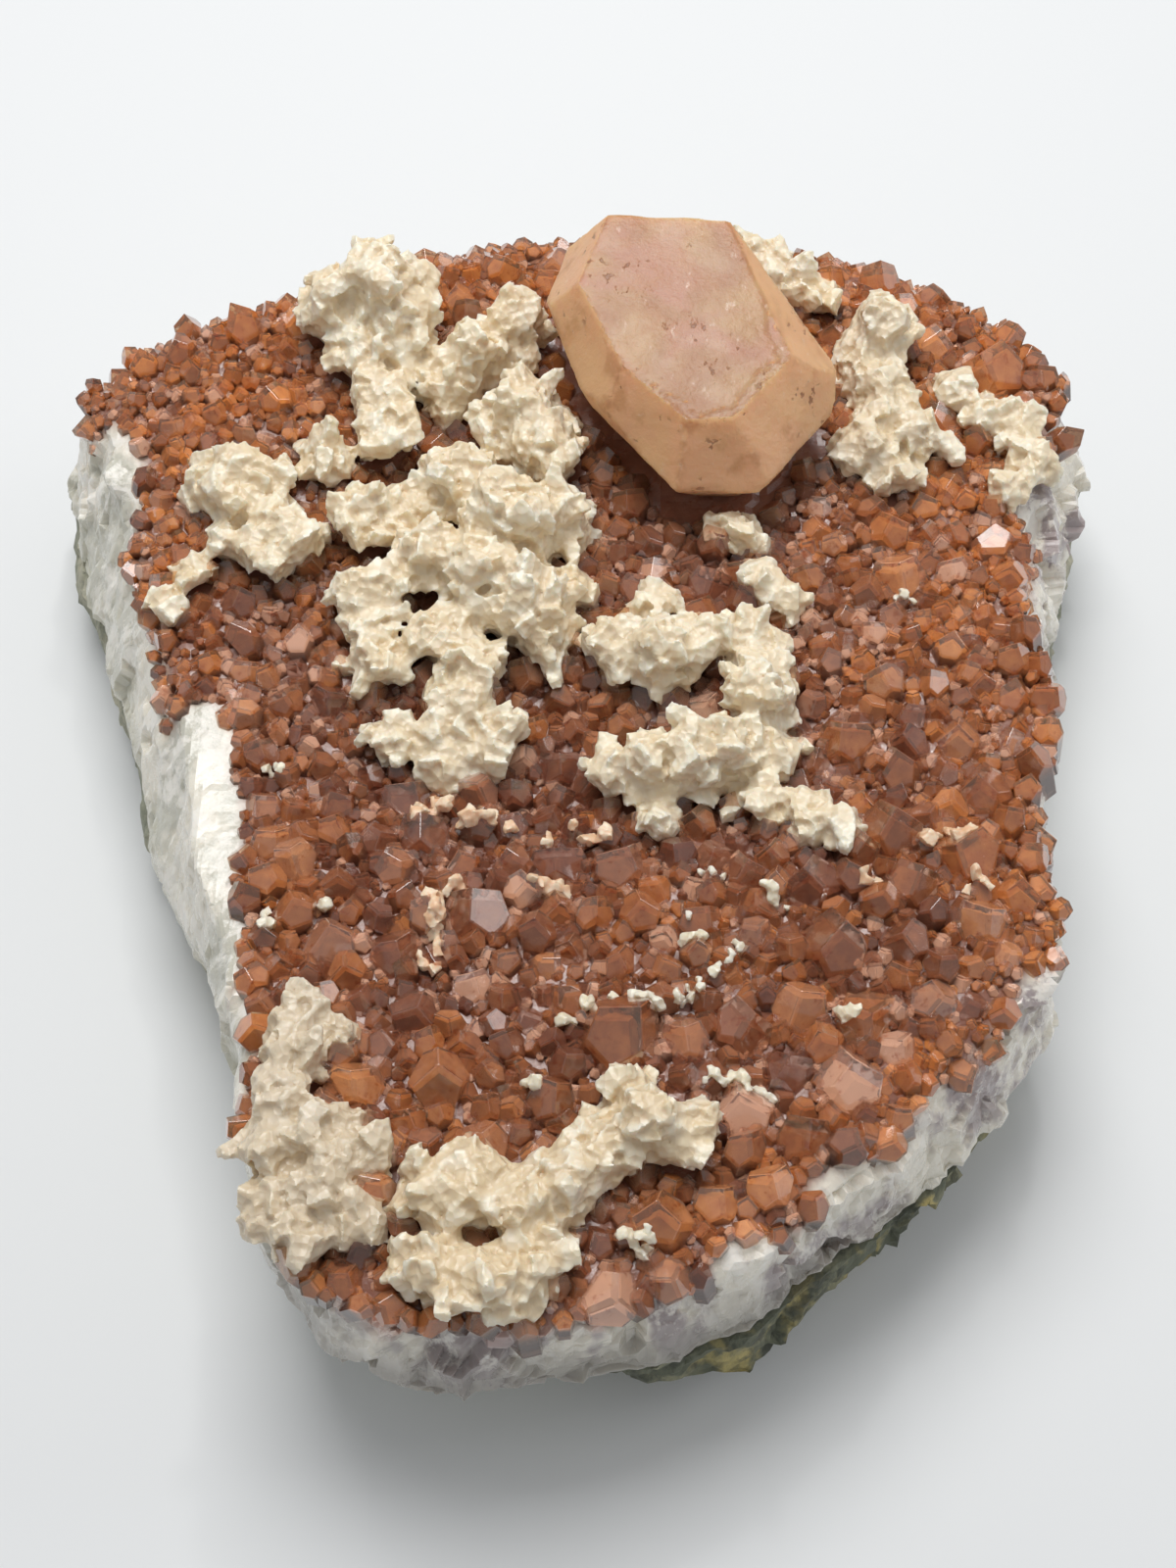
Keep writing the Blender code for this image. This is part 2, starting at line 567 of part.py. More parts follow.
def build():
    clear_scene()
    model = new_collection("hematoid_quartz")
    spare = new_collection("cutters")

    blank = as_cutter(make_blank("plate_blank", spare))
    rock = blank.copy()
    rock.data = blank.data.copy()
    crust = blank.copy()
    crust.data = blank.data.copy()
    for piece, name in ((rock, "host_rock"), (crust, "quartz_crust")):
        piece.name = name
        piece.hide_render = False
        piece.display_type = "TEXTURED"
        model.objects.link(piece)
    boolean(rock, "DIFFERENCE", make_seam_cutter("above_contact_low", -GAP / 2, spare))
    settle(rock)
    boolean(crust, "INTERSECT", make_seam_cutter("above_contact_high", GAP / 2, spare))
    settle(crust)
    fuse(crust, make_points(spare), spare)

    bed = blank.copy()
    bed.data = blank.data.copy()
    bed.name = "bed_cutter"
    spare.objects.link(bed)
    wider = Matrix.Diagonal((BED_CUTTER_SHARE, BED_CUTTER_SHARE, 1.0, 1.0))
    bed.data.transform(Matrix.Translation((0, 0, GAP * MM)) @ wider)

    calcite = make_calcite("calcite_crystal", 0.0, model)
    boolean(calcite, "DIFFERENCE", bed)
    settle(calcite)
    calcite_room = as_cutter(make_calcite("calcite_room", GAP, spare))

    dolomite = new_material("dolomite", (0.80, 0.74, 0.60), 0.45)
    for name, lumps in DOLOMITE.items():
        growth = make_growth(name, lumps, model, spare)
        boolean(growth, "DIFFERENCE", bed)
        boolean(growth, "DIFFERENCE", calcite_room)
        settle(growth)
        growth.data.materials.append(dolomite)
    rock.data.materials.append(new_material("host_rock", (0.17, 0.18, 0.14), 0.85))
    crust.data.materials.append(new_material("red_quartz", (0.42, 0.14, 0.07), 0.25))
    calcite.data.materials.append(new_material("calcite", (0.72, 0.42, 0.27), 0.3))


build()
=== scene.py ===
import itertools
import math
import random

import bmesh
import bpy
import numpy as np
from mathutils import Matrix, Vector, noise
from mathutils.bvhtree import BVHTree


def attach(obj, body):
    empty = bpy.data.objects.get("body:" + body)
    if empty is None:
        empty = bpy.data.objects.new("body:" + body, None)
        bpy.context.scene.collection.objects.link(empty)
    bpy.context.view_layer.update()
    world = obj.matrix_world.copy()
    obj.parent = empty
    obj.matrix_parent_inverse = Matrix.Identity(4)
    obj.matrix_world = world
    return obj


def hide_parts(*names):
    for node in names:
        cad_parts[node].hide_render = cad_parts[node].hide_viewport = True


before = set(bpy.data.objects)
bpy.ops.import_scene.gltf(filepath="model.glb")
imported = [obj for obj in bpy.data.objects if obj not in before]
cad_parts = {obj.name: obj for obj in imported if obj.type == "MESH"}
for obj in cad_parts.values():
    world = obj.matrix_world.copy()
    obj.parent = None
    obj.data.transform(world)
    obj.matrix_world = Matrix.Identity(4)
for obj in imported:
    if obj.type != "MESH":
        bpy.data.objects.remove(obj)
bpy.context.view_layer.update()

# The view, the floor and the light. The specimen lies on a plain pale table under a wide soft light
# that hangs above and a little behind it, and the camera looks down on it over its narrow end.

MM = 0.001
scene = bpy.context.scene
scene.view_settings.view_transform = "Standard"
scene.view_settings.look = "None"

LOOK_DOWN = math.radians(58)
LOOKED_AT = Vector((0, -8, 40)) * MM
CAMERA_DISTANCE = 310 * MM
camera = bpy.data.objects.new("camera", bpy.data.cameras.new("camera"))
scene.collection.objects.link(camera)
camera.data.sensor_width = 36
camera.data.lens = 49.5
camera.data.clip_start = 0.01
camera.location = LOOKED_AT + Vector((0, -math.cos(LOOK_DOWN), math.sin(LOOK_DOWN))) * CAMERA_DISTANCE
camera.rotation_euler = (math.pi / 2 - LOOK_DOWN, 0, 0)
scene.camera = camera


class Wire:
    """One output of a shader node, so that shader maths reads as a plain sum."""

    def __init__(self, finish, socket):
        self.finish = finish
        self.socket = socket

    def math(self, operation, *others, clamp=False):
        values = {i: value for i, value in enumerate((self, *others))}
        settings = {"operation": operation, "use_clamp": clamp}
        return self.finish.node("ShaderNodeMath", settings, values)

    def __add__(self, other):
        return self.math("ADD", other)

    def __sub__(self, other):
        return self.math("SUBTRACT", other)

    def __rsub__(self, other):
        return self.math("MULTIPLY_ADD", -1.0, other)

    def __mul__(self, other):
        return self.math("MULTIPLY", other)

    def __truediv__(self, other):
        return self.math("DIVIDE", other)

    def __pow__(self, other):
        return self.math("POWER", other)

    __radd__ = __add__
    __rmul__ = __mul__

    def between(self, low, high):
        """0 below low, 1 above high, and smooth between them."""
        settings = {"interpolation_type": "SMOOTHSTEP"}
        values = {"Value": self, "From Min": low, "From Max": high}
        return self.finish.node("ShaderNodeMapRange", settings, values)

    def clamped(self):
        return self.math("ADD", 0.0, clamp=True)


class Finish:
    """A material while it is being put together, round one Principled shader."""

    def __init__(self, name, **constants):
        self.material = bpy.data.materials.new(name)
        self.material.use_nodes = True
        self.tree = self.material.node_tree
        self.shader = self.tree.nodes["Principled BSDF"]
        for socket, value in constants.items():
            self.shader.inputs[socket.replace("_", " ")].default_value = value
        self.place = self.node("ShaderNodeTexCoord", {}, {}, "Object")

    def node(self, kind, settings, values, output=0):
        """Any other node: its settings first, then its sockets, and the output that is wanted."""
        made = self.tree.nodes.new(kind)
        for setting, value in settings.items():
            setattr(made, setting, value)
        for socket, value in values.items():
            self.plug(made.inputs[socket], value)
        return Wire(self, made.outputs[output])

    def plug(self, socket, value):
        if isinstance(value, Wire):
            self.tree.links.new(value.socket, socket)
        elif isinstance(value, tuple) and socket.type == "RGBA":
            socket.default_value = (*value[:3], 1.0)
        else:
            socket.default_value = value

    def mix(self, factor, first, second):
        """Colour first where factor is 0, and second where it is 1."""
        settings = {"data_type": "RGBA"}
        return self.node("ShaderNodeMix", settings, {0: factor, 6: first, 7: second}, 2)

    def noise(self, size, detail=3.0, roughness=0.55, stretch=None, distortion=0.0):
        """Cloudy noise with features of about this size in metres."""
        place = self.place
        if stretch:
            place = self.node("ShaderNodeMapping", {}, {"Vector": place, "Scale": stretch})
        values = {"Vector": place, "Scale": 1 / size, "Detail": detail, "Roughness": roughness}
        values["Distortion"] = distortion
        return self.node("ShaderNodeTexNoise", {}, values)

    def cells(self, size, feature="F1", output="Distance", randomness=1.0):
        """Cell pattern with cells of about this size in metres."""
        values = {"Vector": self.place, "Scale": 1 / size, "Randomness": randomness}
        return self.node("ShaderNodeTexVoronoi", {"feature": feature}, values, output)

    def growth(self, channel):
        """One channel of what is noted about each crystal on its own vertices."""
        colour = self.node("ShaderNodeAttribute", {"attribute_name": "growth"}, {}, "Color")
        return self.node("ShaderNodeSeparateColor", {}, {0: colour}, channel)

    def bump(self, height, strength, depth):
        """A fine relief of this depth in metres."""
        values = {"Height": height, "Strength": strength, "Distance": depth}
        return self.node("ShaderNodeBump", {}, values)

    def finished(self, **sockets):
        for socket, value in sockets.items():
            self.plug(self.shader.inputs[socket.replace("_", " ")], value)
        return self.material


FLOOR_COLOUR = (0.80, 0.81, 0.81)
bpy.ops.mesh.primitive_plane_add(size=6.0, location=(0, 0, 0))
floor = bpy.context.object
floor.name = "table_top"
floor.data.materials.append(Finish("table_top", Roughness=0.6).finished(Base_Color=FLOOR_COLOUR))

scene.world = bpy.data.worlds.new("room")
scene.world.use_nodes = True
room = scene.world.node_tree.nodes["Background"]
room.inputs["Color"].default_value = (0.95, 0.97, 1.0, 1.0)
room.inputs["Strength"].default_value = 0.40


def soft_light(name, place, aim, size, power, colour=(1.0, 1.0, 1.0)):
    """A square light panel at a place, turned towards what it lights."""
    lamp = bpy.data.objects.new(name, bpy.data.lights.new(name, "AREA"))
    lamp.data.size = size
    lamp.data.energy = power
    lamp.data.color = colour
    lamp.location = place
    lamp.rotation_mode = "QUATERNION"
    lamp.rotation_quaternion = (Vector(aim) - Vector(place)).to_track_quat("-Z", "Y")
    scene.collection.objects.link(lamp)
    return lamp


soft_light("ceiling_panel", (-0.08, 0.36, 0.86), (0, 0.0, 0.0), 0.50, 5.7)
soft_light("small_lamp", (0.10, 0.42, 0.70), (0, 0.0, 0.03), 0.05, 0.35)
soft_light("window_side", (0.75, 0.15, 0.50), (0, 0, 0.03), 0.3, 0.7)


# Host rock. The dark grey-green rock that the quartz seam grew on, stained black and ochre. It came
# away with the seam, so its sides are broken and its underside is cut flat to lie on.

def stage_mesh(mesh, name):
    """A new object for a mesh, in the scene."""
    made = bpy.data.objects.new(name, mesh)
    scene.collection.objects.link(made)
    return made


def applied(thing):
    """The mesh that an object's modifiers give, and the object is done with."""
    bpy.context.view_layer.update()
    graph = bpy.context.evaluated_depsgraph_get()
    mesh = bpy.data.meshes.new_from_object(thing.evaluated_get(graph))
    mesh.materials.clear()
    bpy.data.objects.remove(thing, do_unlink=True)
    return mesh


def evenly_meshed(mesh, voxel, smoothings=0):
    """The same form as one skin of small even faces, so that it can be chipped and worn."""
    block = stage_mesh(mesh, "block")
    remesh = block.modifiers.new("even", "REMESH")
    remesh.mode = "VOXEL"
    remesh.voxel_size = voxel * MM
    if smoothings:
        smooth = block.modifiers.new("smooth", "SMOOTH")
        smooth.iterations = smoothings
        smooth.factor = 0.5
    return applied(block)


# The noise that gives a vector follows the clock unless it has a seed
NOISE_SEED = 7
noise.seed_set(NOISE_SEED)


def chips(place, size, tilt, step, seed=0.0):
    """Height of a broken face at a place in mm: flat chips, each with a tilt and a level of its own."""
    spot = place / size + Vector((seed, 2 * seed, 3 * seed))
    centre = noise.voronoi(spot)[1][0]
    slope = noise.noise_vector(centre * 7.3 + Vector((0.5, 0.5, 0.5)))
    return size * (tilt * slope.dot(spot - centre) + step * noise.noise(centre * 5.1))


def smooth_step(low, high, value):
    share = min(max((value - low) / (high - low), 0.0), 1.0)
    return share * share * (3 - 2 * share)


def reshape(mesh, rule, *facts):
    """Moves every vertex by a rule that takes its place in mm, its normal and any facts about it."""
    moved = [rule(vert.co / MM, vert.normal.copy(), *known) * MM for vert, *known in zip(mesh.vertices, *facts)]
    for vert, place in zip(mesh.vertices, moved):
        vert.co = place
    mesh.update()


ROCK_VOXEL = 1.5


def break_rock(place, normal):
    side = 1 - smooth_step(0.3, 0.8, abs(normal.z))
    free = smooth_step(0.4, 3.5, place.z) * (0.25 + 0.75 * side)
    calm = 1 - 0.35 * smooth_step(10, -40, place.x)
    ribs = Vector((place.x, place.y, place.z * 0.6))
    out = chips(ribs, 8, 0.5, 0.2) + 0.9 * chips(ribs, 3.4, 0.5, 0.2, 4.0)
    out = calm * (out + 0.6 * noise.noise(place / 1.8)) - 0.5
    if normal.z > 0.3:
        out = min(out, 0.0)
    return place + normal * out * free


rock_mesh = evenly_meshed(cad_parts["host_rock"].data.copy(), ROCK_VOXEL)
reshape(rock_mesh, break_rock)
rock = stage_mesh(rock_mesh, "host_rock_body")

rock_finish = Finish("host_rock", Roughness=0.75)
across = rock_finish.node("ShaderNodeSeparateXYZ", {}, {0: rock_finish.place}, "X")
back = rock_finish.node("ShaderNodeSeparateXYZ", {}, {0: rock_finish.place}, "Y")
wander = 0.03 * (rock_finish.noise(0.02, 2) - 0.5)
right_front = (across + wander).between(-0.012, 0.012) * (1 - (back + wander).between(-0.045, -0.015))
patches = rock_finish.noise(0.012, 4, 0.6).between(0.44, 0.60)
black = rock_finish.noise(0.006, 5, 0.65, stretch=(1, 1, 0.4)).between(0.47, 0.58)
olive = rock_finish.noise(0.010, 4, 0.6, stretch=(1, 1, 0.6)).between(0.50, 0.62)
grain = rock_finish.noise(0.0012, 4, 0.7, stretch=(1, 1, 0.35))
dark = rock_finish.mix(patches, (0.14, 0.15, 0.10), (0.30, 0.29, 0.18))
dark = rock_finish.mix(olive * 0.9, dark, (0.52, 0.43, 0.17))
dark = rock_finish.mix(black * 0.7, dark, (0.040, 0.044, 0.032))
light = rock_finish.mix(patches, (0.34, 0.35, 0.26), (0.57, 0.54, 0.41))
light = rock_finish.mix(black * 0.3, light, (0.17, 0.19, 0.15))
tone = rock_finish.mix(right_front, light, dark)
tone = rock_finish.mix((grain - 0.42).clamped() * 1.4, tone, (0.09, 0.10, 0.08))
rock.data.materials.append(
    rock_finish.finished(Base_Color=tone, Normal=rock_finish.bump(grain, 0.8, 0.0006))
)
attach(rock, "root")
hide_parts("host_rock")


# Quartz seam. The pale band of milky quartz under the crystals, one piece with them. It grew in
# columns from the rock upwards, and it shows white and smoky grey where it was broken.

BED_LEVEL = 39.0
BED_SWELLS = [
    (-56, 68, 34, 24, 4.5),
    (48, -26, 24, 22, 2.4),
    (30, 70, 30, 24, 1.6),
    (-14, -54, 34, 22, 1.4),
    (0, 98, 66, 26, 3.6),
    (-2, -6, 44, 12, -3.6),
]


def bed_height(x, y):
    """Height in mm of the bed that the crystals stand on."""
    height = BED_LEVEL
    for mid_x, mid_y, half_x, half_y, rise in BED_SWELLS:
        height += rise * math.exp(-(((x - mid_x) / half_x) ** 2) - ((y - mid_y) / half_y) ** 2)
    return height


def above_the_bed():
    """A block that takes away all that stands on the bed."""
    bm = bmesh.new()
    bmesh.ops.create_grid(bm, x_segments=48, y_segments=48, size=110 * MM)
    for vert in bm.verts:
        vert.co.z = (bed_height(vert.co.x / MM, vert.co.y / MM) - 0.3) * MM
    raised = bmesh.ops.extrude_face_region(bm, geom=bm.faces[:])["geom"]
    for vert in raised:
        if isinstance(vert, bmesh.types.BMVert):
            vert.co.z = 90 * MM
    bmesh.ops.recalc_face_normals(bm, faces=bm.faces)
    mesh = bpy.data.meshes.new("above_the_bed")
    bm.to_mesh(mesh)
    bm.free()
    return stage_mesh(mesh, "above_the_bed")


SEAM_VOXEL = 1.2
block = stage_mesh(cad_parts["quartz_crust"].data.copy(), "block")
trimmer = above_the_bed()
trim = block.modifiers.new("trim", "BOOLEAN")
trim.operation = "DIFFERENCE"
trim.solver = "EXACT"
trim.object = trimmer
plain_seam = applied(block)
bpy.data.objects.remove(trimmer, do_unlink=True)
seam_mesh = evenly_meshed(plain_seam, SEAM_VOXEL)


# Where the rim is broken down to bare milky quartz: middle x and y, half-widths in x and y
BARE_RIM = [
    (-57, -2, 5, 9), (-54.5, -16, 5, 12), (-51, -33, 3.5, 9), (-47.5, -50, 2.5, 10), (-76, 46, 6, 12),
    (22, -80, 6, 5), (36, -70, 7, 5), (52, -58, 8, 5), (64, -44, 6, 7), (71, 45, 4, 8),
]


def bareness(x, y):
    """1 on the bare rim and 0 away from it."""
    nearest = min(((x - a) / c) ** 2 + ((y - b) / d) ** 2 for a, b, c, d in BARE_RIM)
    return 1 - smooth_step(0.8, 1.5, nearest)


def break_seam(place, normal):
    side = 1 - smooth_step(0.35, 0.85, abs(normal.z))
    columns = Vector((place.x, place.y, place.z * 0.5))
    out = chips(columns, 8.0, 0.55, 0.2, 1.0) + 0.8 * chips(columns, 3.2, 0.6, 0.2, 7.0)
    out += 0.3 * noise.noise(place / 1.6) - 0.6
    out *= 1 - 0.45 * smooth_step(-20, -50, place.x) * (1 - smooth_step(30, 60, place.y))
    if normal.z < -0.3:
        out = min(out, 0.0)
    return place + normal * out * (0.2 + 0.8 * side)


def note_growth(mesh, notes):
    """Keeps three numbers for each vertex, which its material reads as a colour."""
    colours = np.column_stack([notes, np.ones(len(notes))]).astype(np.float32)
    attribute = mesh.attributes.new("growth", "FLOAT_COLOR", "POINT")
    attribute.data.foreach_set("color", colours.ravel())


def iron_in_seam(place):
    """How far iron has reddened the seam: all of the bed, and a few millimetres of the wall below it."""
    x, y, z = place / MM
    depth = bed_height(x, y) - z + 1.5 * noise.noise(Vector((x, y, z)) / 4)
    return (1 - smooth_step(0.5, 5.5, depth)) * (1 - bareness(x, y))


reshape(seam_mesh, break_seam)
note_growth(seam_mesh, np.array([(0, 0, iron_in_seam(vert.co)) for vert in seam_mesh.vertices]))
seam = stage_mesh(seam_mesh, "quartz_seam")

seam_finish = Finish(
    "milky_quartz",
    IOR=1.54,
    Subsurface_Weight=0.4,
    Subsurface_Scale=0.003,
    Subsurface_Radius=(1.0, 0.9, 0.8),
    Coat_Weight=0.3,
    Coat_Roughness=0.12,
)
height = seam_finish.node("ShaderNodeSeparateXYZ", {}, {0: seam_finish.place}, "Z")
facing = seam_finish.node("ShaderNodeNewGeometry", {}, {}, "Normal")
facing_up = seam_finish.node("ShaderNodeSeparateXYZ", {}, {0: facing}, "Z")
smoke = seam_finish.noise(0.011, 4, 0.6, stretch=(1, 1, 0.5)).between(0.46, 0.58)
milk = seam_finish.noise(0.005, 5, 0.7, stretch=(1, 1, 0.5), distortion=0.4).between(0.50, 0.60)
green = seam_finish.noise(0.03, 2).between(0.45, 0.6) * (1 - height.between(0.018, 0.030))
across = seam_finish.node("ShaderNodeSeparateXYZ", {}, {0: seam_finish.place}, "X")
smoky = seam_finish.mix(across.between(-0.045, -0.015), (0.60, 0.58, 0.49), (0.40, 0.34, 0.335))
tone = seam_finish.mix(smoke, (0.83, 0.78, 0.67), smoky)
tone = seam_finish.mix(milk * 0.8, tone, (0.93, 0.89, 0.81))
tone = seam_finish.mix(green * 0.8, tone, (0.50, 0.49, 0.38))
back = seam_finish.node("ShaderNodeSeparateXYZ", {}, {0: seam_finish.place}, "Y")
# Darker grey at the foot of the front wall: painted shade of the front wall, which lies in shadow, partly the dark rock
# bits there.
painted_shade_front_foot = (1 - back.between(-0.078, -0.058)) * (1 - height.between(0.022, 0.036))
tone = seam_finish.mix(painted_shade_front_foot * 0.7, tone, (0.22, 0.20, 0.18))
flesh = seam_finish.mix(seam_finish.noise(0.004, 3), (0.16, 0.055, 0.035), (0.36, 0.16, 0.10))
blush = seam_finish.mix(milk, (0.50, 0.20, 0.12), (0.74, 0.48, 0.38))
on_top = facing_up.between(0.4, 0.75)
red = seam_finish.growth(2)
tone = seam_finish.mix(red * (0.75 + 0.25 * on_top), tone, seam_finish.mix(on_top, blush, flesh))
relief = seam_finish.noise(0.0014, 4, 0.6, stretch=(1, 1, 0.45))
seam.data.materials.append(
    seam_finish.finished(
        Base_Color=tone,
        Roughness=0.25 + 0.25 * milk,
        Normal=seam_finish.bump(relief, 0.4, 0.0004),
    )
)
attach(seam, "root")
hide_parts("quartz_crust")


# Red quartz points. Six-sided quartz crystals, orange to maroon with iron dust inside, that stand
# crowded on the seam. The largest stand where the frame has them, and smaller ones fill between.

# Their colours carry painted light as well: painted shade in the middle and at the foot of each crystal, and painted
# light along the edges and as a painted sheen on upward faces.
LARGE_POINTS = [
    (-25.9, -8.7, 4.5), (-23.4, -15.5, 4.6), (-15.4, -29.4, 5.2), (-4.1, -20.8, 4.2), (4.2, -21.5, 4.2),
    (-11.6, -14.0, 3.6), (-17.5, -20.8, 3.2), (-4.7, -28.6, 3.4), (-35.6, -33.5, 4.3), (-26.3, -35.2, 3.5),
    (-15.8, -40.2, 3.8), (-23.4, -45.0, 3.5), (-30.4, -55.4, 4.0), (-19.5, -55.0, 4.5), (-11.0, -49.6, 3.4),
    (4.0, -48.3, 6.0), (-5.0, -58.0, 3.8), (13.0, -48.5, 3.4), (20.4, -46.6, 4.9), (28.4, -44.0, 4.3),
    (33.8, -34.8, 5.4), (42.8, -16.6, 5.0), (31.6, -25.2, 4.3), (53.2, -20.4, 5.3), (59.6, -27.4, 3.5),
    (45.2, -25.4, 4.2), (53.8, -31.4, 4.0), (43.8, -34.4, 4.2), (37.6, -45.0, 4.6), (46.4, -43.0, 3.6),
    (26.4, -53.2, 3.7), (34.8, -54.6, 4.8), (20.8, -58.4, 3.9), (28.0, -62.4, 4.4), (16.4, -71.2, 3.5),
    (9.6, -74.6, 4.6), (2.6, -83.4, 4.0), (54.2, -0.4, 4.2), (57.0, -9.8, 4.5), (38.2, 0.2, 4.1),
    (47.6, 29.6, 4.6), (62.8, 36.4, 3.4), (66.4, 70.0, 5.6), (48.4, 89.2, 4.2), (56.2, 76.6, 4.4),
    (18.6, 27.6, 4.0), (-55.8, 76.6, 4.2), (-47.4, 78.4, 4.0), (-21.4, 84.6, 3.4),
    (-14.2, 90.6, 3.4), (-5.6, 92.4, 3.4), (-53.0, 24.4, 3.4), (-23.8, 54.0, 3.4), (-4.6, 7.6, 3.6),
    (-4.2, -2.6, 3.8), (-38.4, 7.4, 3.4),
]
# Smaller sizes: radius from and to in mm, how many places are tried, and how near neighbours stand
SMALLER_POINTS = [(2.3, 3.3, 6000, 0.72), (1.3, 2.3, 18000, 0.58), (0.7, 1.3, 40000, 0.56)]
R_FACE_LEAN = math.radians(51.8)
SHOULDER = 1.0


def cut_crystal(rng, rounding):
    """One quartz point of unit radius, cut from a block: six sides, six end faces, and a root."""
    bm = bmesh.new()
    bmesh.ops.create_cube(bm, size=9)
    planes = []
    for i in range(6):
        turn = math.tau * i / 6
        side = Vector((math.cos(turn), math.sin(turn), 0))
        planes.append((side, rng.uniform(0.74, 0.92)))
        end = Vector((side.x * math.sin(R_FACE_LEAN), side.y * math.sin(R_FACE_LEAN), math.cos(R_FACE_LEAN)))
        spread = rng.uniform(-0.20, 0.04) if i % 2 else rng.uniform(0.12, 0.72)
        planes.append((end, SHOULDER * math.cos(R_FACE_LEAN) + math.sin(R_FACE_LEAN) * 0.83 + spread))
    planes.append((Vector((0, 0, -1)), 1.6))
    for outward, distance in planes:
        whole = bm.verts[:] + bm.edges[:] + bm.faces[:]
        cut = bmesh.ops.bisect_plane(
            bm, geom=whole, plane_co=outward * distance, plane_no=outward, clear_outer=True
        )["geom_cut"]
        rim = [part for part in cut if isinstance(part, bmesh.types.BMEdge)]
        if rim:
            bmesh.ops.contextual_create(bm, geom=rim)
    bmesh.ops.dissolve_degenerate(bm, edges=bm.edges, dist=0.02)
    if rounding:
        edges = [e for e in bm.edges if max(v.co.z for v in e.verts) > -1.5]
        bmesh.ops.bevel(bm, geom=edges, offset=rounding, segments=1, affect="EDGES", clamp_overlap=True)
    bmesh.ops.recalc_face_normals(bm, faces=bm.faces)
    bmesh.ops.triangulate(bm, faces=bm.faces)
    points = np.array([vert.co[:] for vert in bm.verts])
    faces = np.array([[vert.index for vert in face.verts] for face in bm.faces])
    bm.free()
    return points, faces


class Growth:
    """Many small crystals gathered into one mesh, with a note on each of them."""

    def __init__(self):
        self.points, self.faces, self.notes, self.count = [], [], [], 0

    def add(self, template, matrix, note):
        """Adds a copy. note is (tint, warmth); the height of each point up its crystal goes with it."""
        points, faces = template
        matrix = np.array(matrix)
        self.points.append(points @ matrix[:3, :3].T + matrix[:3, 3])
        self.faces.append(faces + self.count)
        rise = (points[:, 2] - points[:, 2].min()) / np.ptp(points[:, 2])
        self.notes.append(np.column_stack([np.full(len(points), note[0]), rise, np.full(len(points), note[1])]))
        self.count += len(points)

    def mesh(self, name):
        mesh = bpy.data.meshes.new(name)
        mesh.from_pydata(np.concatenate(self.points), [], np.concatenate(self.faces))
        note_growth(mesh, np.concatenate(self.notes))
        return mesh


def tree_of(mesh):
    return BVHTree.FromPolygons([v.co / MM for v in mesh.vertices], [p.vertices[:] for p in mesh.polygons])


LATER_GROWTHS = sorted(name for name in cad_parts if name.startswith("dolomite") or "calcite" in name)
seam_tree = tree_of(seam_mesh)
plain_tree = tree_of(plain_seam)
later_trees = {name: tree_of(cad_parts[name].data) for name in LATER_GROWTHS}
DOWN = Vector((0, 0, -1))


def covered(x, y, clearance):
    """Whether later crystals lie over this place, out to a clearance in mm all round."""
    for step_x, step_y in ((0, 0), (1, 0), (-1, 0), (0, 1), (0, -1)):
        start = Vector((x + step_x * clearance, y + step_y * clearance, 90))
        if all(tree.ray_cast(start, DOWN)[0] is None for tree in later_trees.values()):
            return False
    return True


class Ground:
    """The places that are taken, kept by cubes of space so that neighbours are found quickly."""

    def __init__(self, cube):
        self.cube = cube
        self.cubes = {}

    def near(self, place):
        middle = [int(c // self.cube) for c in place]
        for steps in itertools.product((-1, 0, 1), repeat=3):
            yield from self.cubes.get(tuple(m + step for m, step in zip(middle, steps)), ())

    def free(self, place, radius, spacing):
        return all((place - other).length > spacing * (radius + r) for other, r in self.near(place))

    def take(self, place, radius):
        self.cubes.setdefault(tuple(int(c // self.cube) for c in place), []).append((place, radius))


def clear_of_calcite(tip):
    """Whether a tip stays out of the calcite that overhangs the bed."""
    near, normal, _, distance = later_trees["calcite_crystal"].find_nearest(tip)
    return (tip - near).dot(normal) > 0.4


rng = random.Random(7)
HABITS = 24
bevelled_points = [cut_crystal(random.Random(habit), 0.03) for habit in range(HABITS)]
plain_points = [cut_crystal(random.Random(habit), 0.0) for habit in range(HABITS)]
ground = Ground(6.0)
clear_points = Growth()
iron_hearts = Growth()


def iron_with_painted_shade_and_light_at(x, y, rng):
    """How orange a crystal is: 0 is maroon, as in the middle, and 1 is bright orange, as along the edges. Partly iron,
    partly painted light: painted shade darkens the middle and painted light brightens the edges.
    """
    edge = smooth_step(0.35, 1.0, math.hypot((x + 2) / 78, (y + 8) / 98))
    patch = 0.5 + 0.9 * noise.noise(Vector((x / 22, y / 22, 3.0)))
    return min(max(0.55 * edge + 0.42 * patch + rng.gauss(0, 0.22), 0.0), 1.0)


def fineness(x, y):
    """How much finer the druse is here: 0 in the middle and the front, towards 1 at the back and the left."""
    back = smooth_step(-5, 60, y + 8 * noise.noise(Vector((x, y, 0)) / 15))
    return min(0.75 * back + 0.8 * smooth_step(-28, -50, x), 0.95)


